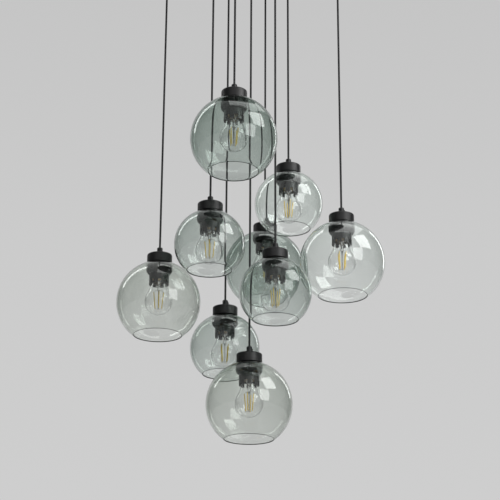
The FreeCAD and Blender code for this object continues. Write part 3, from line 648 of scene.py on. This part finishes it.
def globe(radius, mouth_r, seed):
    """Two balls, one inside the other, both cut at the hole and the mouth. Angles run from the top. The
    wall thins as the square of the share of the way down, and swells to the lip in the last twentieth. The
    outer line goes down to the mouth, a half circle turns it inwards over the rim, the inner line comes
    back up, and the ring closes at the hole. The wall wanders by 0.05 mm: a sum of slow sines of the height
    angle and the turn."""
    inner = radius - LIP
    centre = -0.2 - math.sqrt(radius ** 2 - HOLE_R ** 2)
    mouth = 180 - math.degrees(math.asin(mouth_r / radius)) - 0.55
    middle = (radius + inner) / 2
    down = np.radians(np.linspace(math.degrees(math.asin(HOLE_R / radius)), mouth, DOWN))
    up = np.radians(np.linspace(mouth, math.degrees(math.asin(HOLE_R / (radius - TOP_WALL))), UP))
    outside = np.stack([radius * np.sin(down), centre + radius * np.cos(down)], 1)
    share = (up - up[-1]) / (up[0] - up[-1])
    lip = np.clip(share * 20 - 19, 0, 1) ** 2
    within = radius - TOP_WALL - (LOW_WALL - TOP_WALL) * share ** 2 - (LIP - LOW_WALL) * lip
    inside = np.stack([within * np.sin(up), centre + within * np.cos(up)], 1)
    rim_angle = math.radians(mouth)
    outward = np.array([math.sin(rim_angle), math.cos(rim_angle)])
    onward = np.array([math.cos(rim_angle), -math.sin(rim_angle)])
    bend = np.linspace(0, math.pi, BEND + 2)[1:-1, None]
    rim = np.array([0, centre]) + outward * (middle + LIP / 2 * np.cos(bend))
    rim = rim + onward * LIP / 2 * np.sin(bend)
    line = np.concatenate([outside, rim, inside])
    grid = lathe(line, COLUMNS)
    turn = np.arange(COLUMNS) / COLUMNS * 2 * math.pi
    tall = np.arctan2(line[:, 0], line[:, 1] - centre)[:, None]
    wander = 0.03 * np.sin(2 * turn + seed + 2 * tall) + 0.02 * np.sin(3 * turn - seed * 2 + 4 * tall)
    fade = np.clip((tall - 0.35) / 0.3, 0, 1) * np.clip((rim_angle - tall) / 0.3, 0, 1)
    swell = 1 + wander * fade / radius
    return grid * np.stack([swell, swell, np.ones_like(swell)], -1)


for number, place in LAMPS.items():
    size = (75.0, 47.0) if number in SMALL else (90.0, 51.25)
    blown = place_piece(f"blown_globe_{number}", [(globe(*size, number * 1.7), True)], place, TURN[number])
    blown.data.materials.append(smoked_glass(number))
    blown.data.materials.append(rim_painted_shade_glass)
    # the rim's faces take the second material, whose dark colour is painted shade
    row = np.arange(len(blown.data.polygons)) // COLUMNS
    painted_rim_faces = (row >= DOWN - 1) & (row <= DOWN - 1 + BEND)
    blown.data.polygons.foreach_set("material_index", painted_rim_faces.astype(np.int32))
    finish_piece(blown, None, "smoked_glass", f"pendant_{number}", f"glass_globe_{number}")
print("globe", len(blown.data.vertices), "points")

# %% [markdown]
# ## The bulbs
# A clear filament bulb is a thin glass envelope 60 mm across, sealed round a glass stem. Four sticks coated
# with yellow silicone stand around the stem on short wires. The envelope's line is two arcs that meet in
# one direction, a hollow one at the neck and the round one below, and its wall is 0.8 mm. The threaded
# sleeve is the same stamped brass as the screw shell it goes into.

# %% Finishes of the bulb
bulb_glass = clear_or_smoked("clear lead-free bulb glass", 1.5, (0.93, 0.93, 0.93, 1.0))

# The insulator at the bulb's end is black glass, poured in hot: glossy and faintly blue.
black_glass, tree, out = new_material("black poured insulator glass")
place = add(tree, "TexCoord").outputs["Object"]
flow = add(tree, "TexNoise", {"Vector": place, "Scale": 1 / 0.003, "Detail": 1.0})
bump = add(tree, "Bump", {"Height": flow.outputs["Fac"], "Strength": 0.3, "Distance": 0.0001})
poured = add(tree, "BsdfPrincipled", {"Base Color": linear("#0d0e13"), "Roughness": 0.12,
             "Normal": bump.outputs["Normal"]})
tree.links.new(poured.outputs["BSDF"], out.inputs["Surface"])

# The sticks are rows of tiny blue diodes under silicone filled with yellow phosphor, which gives a matt
# golden skin with the faint beads of the diodes under it, 0.9 mm apart along the stick.
phosphor, tree, out = new_material("golden phosphor silicone")
place = add(tree, "TexCoord").outputs["Object"]
height = add(tree, "SeparateXYZ", {"Vector": place}).outputs["Z"]
count = add(tree, "Math", {0: height, 1: 2 * math.pi / 0.0009}, operation="MULTIPLY")
beads = add(tree, "Math", {0: count.outputs[0]}, operation="SINE")
share = add(tree, "MapRange", {"Value": beads.outputs[0], "From Min": -1.0, "From Max": 1.0})
gold = add(tree, "ValToRGB", {"Fac": share.outputs["Result"]})
gold.color_ramp.elements[0].color = linear("#e6bb22")
gold.color_ramp.elements[1].color = linear("#f5cf3a")
skin = add(tree, "BsdfPrincipled", {"Base Color": gold.outputs["Color"], "Roughness": 0.45})
tree.links.new(skin.outputs["BSDF"], out.inputs["Surface"])

# %% Lines of the bulb
BULB_R, BULB_TIP, NECK_TOP, NECK_R, BULB_WALL, HOLLOW_R = 30.0, -114.9, -35.9, 15.5, 0.8, 90.0
BULB_MIDDLE = BULB_TIP + BULB_R


def envelope():
    """The envelope's closed line. The hollow arc's centre is where a circle of the hollow's radius around
    the neck's edge meets one of both radii together around the ball's middle, so the arcs meet smoothly.
    The inner line is the same with the wall taken off, walked back up."""
    lift = NECK_TOP - BULB_MIDDLE
    apart, reach = math.hypot(NECK_R, lift), BULB_R + HOLLOW_R
    along = (apart ** 2 + reach ** 2 - HOLLOW_R ** 2) / (2 * apart)
    aside = math.sqrt(reach ** 2 - along ** 2)
    x = (along * NECK_R + aside * lift) / apart
    z = (along * lift - aside * NECK_R) / apart
    first = math.degrees(math.atan2(lift - z, NECK_R - x)) % 360
    meet = math.degrees(math.atan2(z, x))
    middle = (0, BULB_MIDDLE)
    hollow = (x, BULB_MIDDLE + z)
    outside = [arc(hollow, HOLLOW_R, first, 180 + meet, 24), arc(middle, BULB_R, meet, -90, 48)[1:]]
    thin, wide = BULB_R - BULB_WALL, HOLLOW_R + BULB_WALL
    inside = [arc(middle, thin, -90, meet, 48), arc(hollow, wide, 180 + meet, first, 24)[1:]]
    return np.concatenate(outside + inside)


def stem_line():
    """The stem's closed line: a trumpet whose radius falls from its foot to the pinch with the power 2.2
    of the way left, a pinch, a thin rod down to the sticks' feet, and the trumpet's hollow inside."""
    left = np.linspace(1, 0, 20)
    trumpet = np.stack([3.2 + 5.8 * left ** 2.2, NECK_TOP - 18 * (1 - left)], 1)
    pinch = [(3.2, -61.2), (2.9, -62.0), (1.9, -62.9), (1.3, -63.8), (1.3, -102.2), (0.9, -102.8),
             (0, -102.9)]
    hollow = np.stack([0.2 + 7.9 * left[::-1] ** 2.2, NECK_TOP - 17 * (1 - left[::-1])], 1)
    return np.concatenate([trumpet, pinch, [(0, -53.6)], hollow])


def threaded_sleeve():
    """The sleeve of the screw base. Its radius is 13.2 mm at the crests and 1.1 mm less in the roots, a
    rounded wave that climbs 3.62 mm a turn and fades at both ends; a skirt below grips the glass neck."""
    height = np.linspace(-33.9, -15.9, 80)
    angle = np.arange(96) / 96 * 2 * math.pi
    wave = 0.5 - 0.5 * np.cos(2 * math.pi * height[:, None] / THREAD_STEP - angle)
    fade = np.clip(np.minimum(-15.9 - height, height + 32.4) / 1.6, 0, 1)[:, None]
    radius = 13.2 - 1.1 * wave * fade
    across = [np.zeros(96), np.full(96, 15.2), np.full(96, 15.5), np.full(96, 15.5), np.full(96, 15.1)]
    level = [NECK_TOP, NECK_TOP, NECK_TOP + 0.3, NECK_TOP + 1.1, NECK_TOP + 1.4]
    across = np.concatenate([across, radius, [np.full(96, 12.4), np.zeros(96)]])
    level = np.concatenate([level, height, [-15.6, -15.6]])[:, None] + 0 * angle
    return np.stack([across * np.cos(angle), across * np.sin(angle), level], -1)


insulator_line = outline([(0, -15.7), (12.4, -15.7, 0.3), (4.9, -11.3, 1.5), (0, -11.3)])
solder_line = np.concatenate([[(0, -11.5), (4.7, -11.5)], bow((4.7, -11.2), (0, -9.9), 10.0, 9)])

# %% Sticks and wires
STICK_TOP, STICK_FOOT, TOP_R, FOOT_R = -64.3, -101.5, 10.5, 7.0


def smooth_path(corners, steps=14):
    """A bent wire's line: the curve whose point at share t is each corner weighted by its place in the
    binomial rule, so it leaves the first corner and reaches the last smoothly."""
    corners = np.array(corners, float)
    last = len(corners) - 1
    share = np.linspace(0, 1, steps)[:, None]
    order = np.arange(last + 1)
    many = np.array([math.comb(last, n) for n in order])
    weight = many * share ** order * (1 - share) ** (last - order)
    return weight @ corners


def sticks_and_wires():
    """Four leaning sticks, and the wires that carry them: one from the pinch to each top, one from the
    rod's end to each foot, and two lead wires down through the stem."""
    sticks, wires = [], []
    for n in range(4):
        angle = math.radians(45 + 90 * n)
        out = np.array([math.cos(angle), math.sin(angle), 0])
        up = np.array([0, 0, 1.0])
        sticks.append((rod(out * FOOT_R + up * STICK_FOOT, out * TOP_R + up * STICK_TOP, 0.95, 20), False))
        top = smooth_path([out * 1.0 + up * -61.5, out * 6 + up * -60.8, out * 10.9 + up * -61.5,
                           out * TOP_R + up * (STICK_TOP - 0.6)])
        foot = smooth_path([out * 0.5 + up * -101.6, out * 4 + up * -102.4, out * 6.9 + up * -102.6,
                            out * FOOT_R + up * (STICK_FOOT + 0.6)])
        wires += [(sweep(line, closed_radii(len(line), 0.32), 10), False) for line in (top, foot)]
    for side in (-1, 1):
        lead = smooth_path([(side * 6.5, 0, -36.2), (side * 2.4, 0.3, -47), (side * 1.9, -0.3, -54),
                            (side * 1.6, 0, -61.5)])
        wires.append((sweep(lead, closed_radii(len(lead), 0.3), 10), False))
    return sticks, wires


def closed_radii(count, radius):
    """The radius at each point of a wire: the same all along, and nothing at both ends to close it."""
    radii = np.full(count, radius)
    radii[[0, -1]] = 0
    return radii


# %% Make the bulbs
for number, place in LAMPS.items():
    body, node, turn = f"bulb_body_{number}", f"bulb_{number}", TURN[number]
    glass = place_piece(f"bulb_envelope_{number}", [(lathe(envelope(), 96), True)], place, turn)
    finish_piece(glass, bulb_glass, "clear_glass", body, node)
    stem = place_piece(f"bulb_stem_{number}", [(lathe(stem_line(), 40), True)], place, turn)
    finish_piece(stem, bulb_glass, "clear_glass", body, node)
    sleeve = place_piece(f"bulb_sleeve_{number}", [(threaded_sleeve(), False)], place, turn)
    finish_piece(sleeve, brass, "brass", body, node)
    cone = place_piece(f"bulb_insulator_{number}", [(lathe(insulator_line, 48), False)], place, turn)
    finish_piece(cone, black_glass, "black_plastic", body, node)
    button = place_piece(f"bulb_solder_{number}", [(lathe(solder_line, 32), False)], place, turn)
    finish_piece(button, zinc_plated, "zinc_steel", body, node)
    sticks, wires = sticks_and_wires()
    stick_piece = place_piece(f"filament_sticks_{number}", sticks, place, turn)
    finish_piece(stick_piece, phosphor, "brass", body, node)
    wire_piece = place_piece(f"support_wires_{number}", wires, place, turn)
    finish_piece(wire_piece, wire_metal, "zinc_steel", body, node)
print("bulb envelope", len(glass.data.vertices), "points, sleeve", len(sleeve.data.vertices), "points")

# %% [markdown]
# ## The canopy
# The photograph ends below the canopy, so this is the usual one: a pressed steel cover, held to a ceiling
# strap by two knurled screws at its sides, with nine cord grips in its floor. The cover and grips are
# turned lines again, in the same powder coat. The cover is drawn without its holes, which the grips and
# screws would hide. The strap, terminal block and nuts keep their CAD meshes.

# %% Press the cover and turn its grips
COVER_R, COVER_DEPTH, COVER_WALL = 240.0, 32.0, 1.2
cover_line = outline([
    (COVER_R - COVER_WALL, 0, 0.3), (COVER_R, 0, 0.4), (COVER_R, -COVER_DEPTH, 5), (0, -COVER_DEPTH),
    (0, COVER_WALL - COVER_DEPTH), (COVER_R - COVER_WALL, COVER_WALL - COVER_DEPTH, 3.8)], steps=12)
cover = place_piece("canopy_cover_pressed", [(lathe(cover_line, 256), True)], (0, 0, 0))
finish_piece(cover, black_coat, "black_metal", "canopy", "canopy_cover")

canopy_grip_line = outline([(2.8, -16, 0.3), (7.5, -16, 2), (7.5, 0), (4.9, 0), (4.9, 12, 0.4), (2.8, 12)])
canopy_grips = []
for number, (x, y, base) in LAMPS.items():
    spot = np.array([x * 1000, y * 1000, -COVER_DEPTH])
    canopy_grips.append((lathe(canopy_grip_line, 48) + spot, True))
grips = place_piece("canopy_grips_turned", canopy_grips, (0, 0, 0))
finish_piece(grips, black_coat, "black_metal", "canopy", "canopy_cord_grips")

# %% Knurl the side screws
knurled_line = outline([(0, 6), (5, 6, 0.6), (5, 5.2), (5, 0.8), (5, 0, 0.5), (2, 0), (2, -12), (0, -12)])


def knurled(line, teeth=30):
    """A turned screw whose rim has fine teeth: where the line is at the rim's radius, a straight ramp up
    and down takes off up to 0.3 mm, once for each tooth."""
    grid = lathe(line, teeth * 4)
    share = np.arange(teeth * 4) / 4 % 1
    tooth = 0.3 * np.abs(share * 2 - 1)
    rim = (line[:, 0] > 4.9) & (line[:, 1] > 0.7) & (line[:, 1] < 5.3)
    shrink = 1 - tooth[None] * rim[:, None] / 5
    return grid * np.stack([shrink, shrink, np.ones_like(shrink)], -1)


side_screws = []
for way in (1, -1):
    grid = aimed(knurled(knurled_line), -14, COVER_R + 0.05)
    side_screws.append((grid * np.array([way, 1, 1]), False))
screws = place_piece("knurled_side_screws", side_screws, (0, 0, 0), sharp=30)
finish_piece(screws, black_coat, "black_metal", "canopy", "canopy_screws")

# %% White nylon for the terminal block
# Moulded nylon is milky and slightly glossy, and light goes a little way into it.
nylon, tree, out = new_material("white moulded nylon")
place = add(tree, "TexCoord").outputs["Object"]
grain = add(tree, "TexNoise", {"Vector": place, "Scale": 1 / 0.0008, "Detail": 2.0})
bump = add(tree, "Bump", {"Height": grain.outputs["Fac"], "Strength": 0.2, "Distance": 0.00005})
moulded = add(tree, "BsdfPrincipled", {"Base Color": linear("#e4e2da"), "Roughness": 0.42,
              "Subsurface Weight": 0.15, "Subsurface Scale": 0.001, "Normal": bump.outputs["Normal"]})
tree.links.new(moulded.outputs["BSDF"], out.inputs["Surface"])
kept = {"ceiling_bracket": zinc_plated, "terminal_block": nylon, "canopy_grip_nuts": brass}
for node, material in kept.items():
    slots = frame["nodes"][node].material_slots
    for n in range(len(slots)):
        slots[n].material = material
    print(node, "has", material.name)

# %% [markdown]
# ## Studio
# The highlights on the photographed glass look like soft boxes in a grey room: two broad ones at the front
# right, one high and one low, and a tall thin one on each side. Lamps that the camera can't see give the
# same shapes, and one more hangs overhead. Black curtains at both sides darken the outer edges of the
# glass, which are dark in the photograph. Seen from the side, they are the backdrop. The floor lies far
# below.

# %% Floor, backdrop and lamps
FLOOR_Z, MIDDLE = -2.7, (0.0, 0.0, -0.95)
floor_mesh = bpy.data.meshes.new("studio_floor")
ring = np.arange(64) / 64 * 2 * math.pi
rim = np.stack([30 * np.cos(ring), 30 * np.sin(ring), 0 * ring + FLOOR_Z], -1)
floor_mesh.from_pydata(rim, [], [list(range(64))])
floor = bpy.data.objects.new("studio_floor", floor_mesh)
bpy.context.scene.collection.objects.link(floor)
floor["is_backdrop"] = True
matt_floor, tree, out = new_material("matt grey studio floor")
paint = add(tree, "BsdfDiffuse", {"Color": linear("#d6d6d6"), "Roughness": 0.4})
lift = add(tree, "Emission", {"Color": linear("#cfcfcf"), "Strength": 0.16})
both = add(tree, "AddShader", {0: paint.outputs["BSDF"], 1: lift.outputs["Emission"]})
tree.links.new(both.outputs["Shader"], out.inputs["Surface"])
floor_mesh.materials.append(matt_floor)

world = bpy.data.worlds.new("grey room")
bpy.context.scene.world = world
world.use_nodes = True
tree = world.node_tree
tree.nodes.clear()
way = add(tree, "SeparateXYZ", {"Vector": add(tree, "TexCoord").outputs["Generated"]})
walls = add(tree, "ValToRGB", {"Fac": way.outputs["Z"]})
stops = walls.color_ramp.elements
stops[0].position, stops[0].color = 0.0, linear("#cfcfcf")
stops[1].position, stops[1].color = 1.0, linear("#b8b8b8")
for height, code in ((0.18, "#cecece"), (0.34, "#cbcbcb"), (0.5, "#c5c5c5")):
    stops.new(height).color = linear(code)
# black curtains stand at both sides, from about 30 degrees off the middle outwards
aside = add(tree, "Math", {0: way.outputs["X"]}, operation="ABSOLUTE")
curtain = add(tree, "ValToRGB", {"Fac": aside.outputs[0]})
curtain.color_ramp.elements[0].position, curtain.color_ramp.elements[0].color = 0.44, (1, 1, 1, 1)
curtain.color_ramp.elements[1].position, curtain.color_ramp.elements[1].color = 0.62, (0.12, 0.12, 0.12, 1)
dim = add(tree, "Mix", {"Factor": 1.0}, data_type="RGBA", blend_type="MULTIPLY")
tree.links.new(walls.outputs["Color"], dim.inputs["A"])
tree.links.new(curtain.outputs["Color"], dim.inputs["B"])
room = add(tree, "Background", {"Color": dim.outputs["Result"], "Strength": 1.0})
out = tree.nodes.new("ShaderNodeOutputWorld")
tree.links.new(room.outputs["Background"], out.inputs["Surface"])


def soft_box(name, azimuth, elevation, distance, width, height, brightness):
    """A rectangular lamp that faces the object. Its power is pi times its area times its brightness, so a
    brightness of 1 looks as bright as a white wall. The camera doesn't see it, but glass and metal do."""
    data = bpy.data.lights.new(name, "AREA")
    data.shape = "RECTANGLE"
    data.size, data.size_y = width, height
    data.energy = math.pi * width * height * brightness
    lamp = bpy.data.objects.new(name, data)
    bpy.context.scene.collection.objects.link(lamp)
    a, e = math.radians(azimuth), math.radians(elevation)
    way = np.array([math.cos(e) * math.cos(a), math.cos(e) * math.sin(a), math.sin(e)])
    lamp.location = tuple(np.array(MIDDLE) + way * distance)
    lamp.rotation_euler = (math.pi / 2 - e, 0, a + math.pi / 2)
    lamp.visible_camera = False
    return lamp


soft_box("box_front_right", -25, 40, 3.0, 1.6, 1.5, 5.0)
soft_box("box_front_low", -49, 10, 3.0, 1.3, 1.5, 3.6)
soft_box("tall_box_left", 151, 46, 3.2, 0.45, 2.3, 3.0)
soft_box("tall_box_right", 50, 28, 3.2, 0.35, 1.7, 2.6)
soft_box("box_overhead", 0, 78, 2.1, 1.5, 1.5, 1.3)

# Light crosses up to sixteen walls of glass on its way through two globes and their bulbs.
bounces = bpy.context.scene.cycles
bounces.max_bounces = 40
bounces.transmission_bounces = 40
bounces.transparent_max_bounces = 40

# %% [markdown]
# ## Check and finish
# The visible model's box is measured, and how far each of its sides lies from the CAD model's box is
# printed in millimetres. The visible model has to stay inside the CAD model's box.

# %% Write the sizes and finish
visual_low, visual_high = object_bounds()
grown = zip((*visual_low, *visual_high), (*cad_low, *cad_high))
print("grew by, mm:", [round((v - c) * 1000, 2) for v, c in grown])
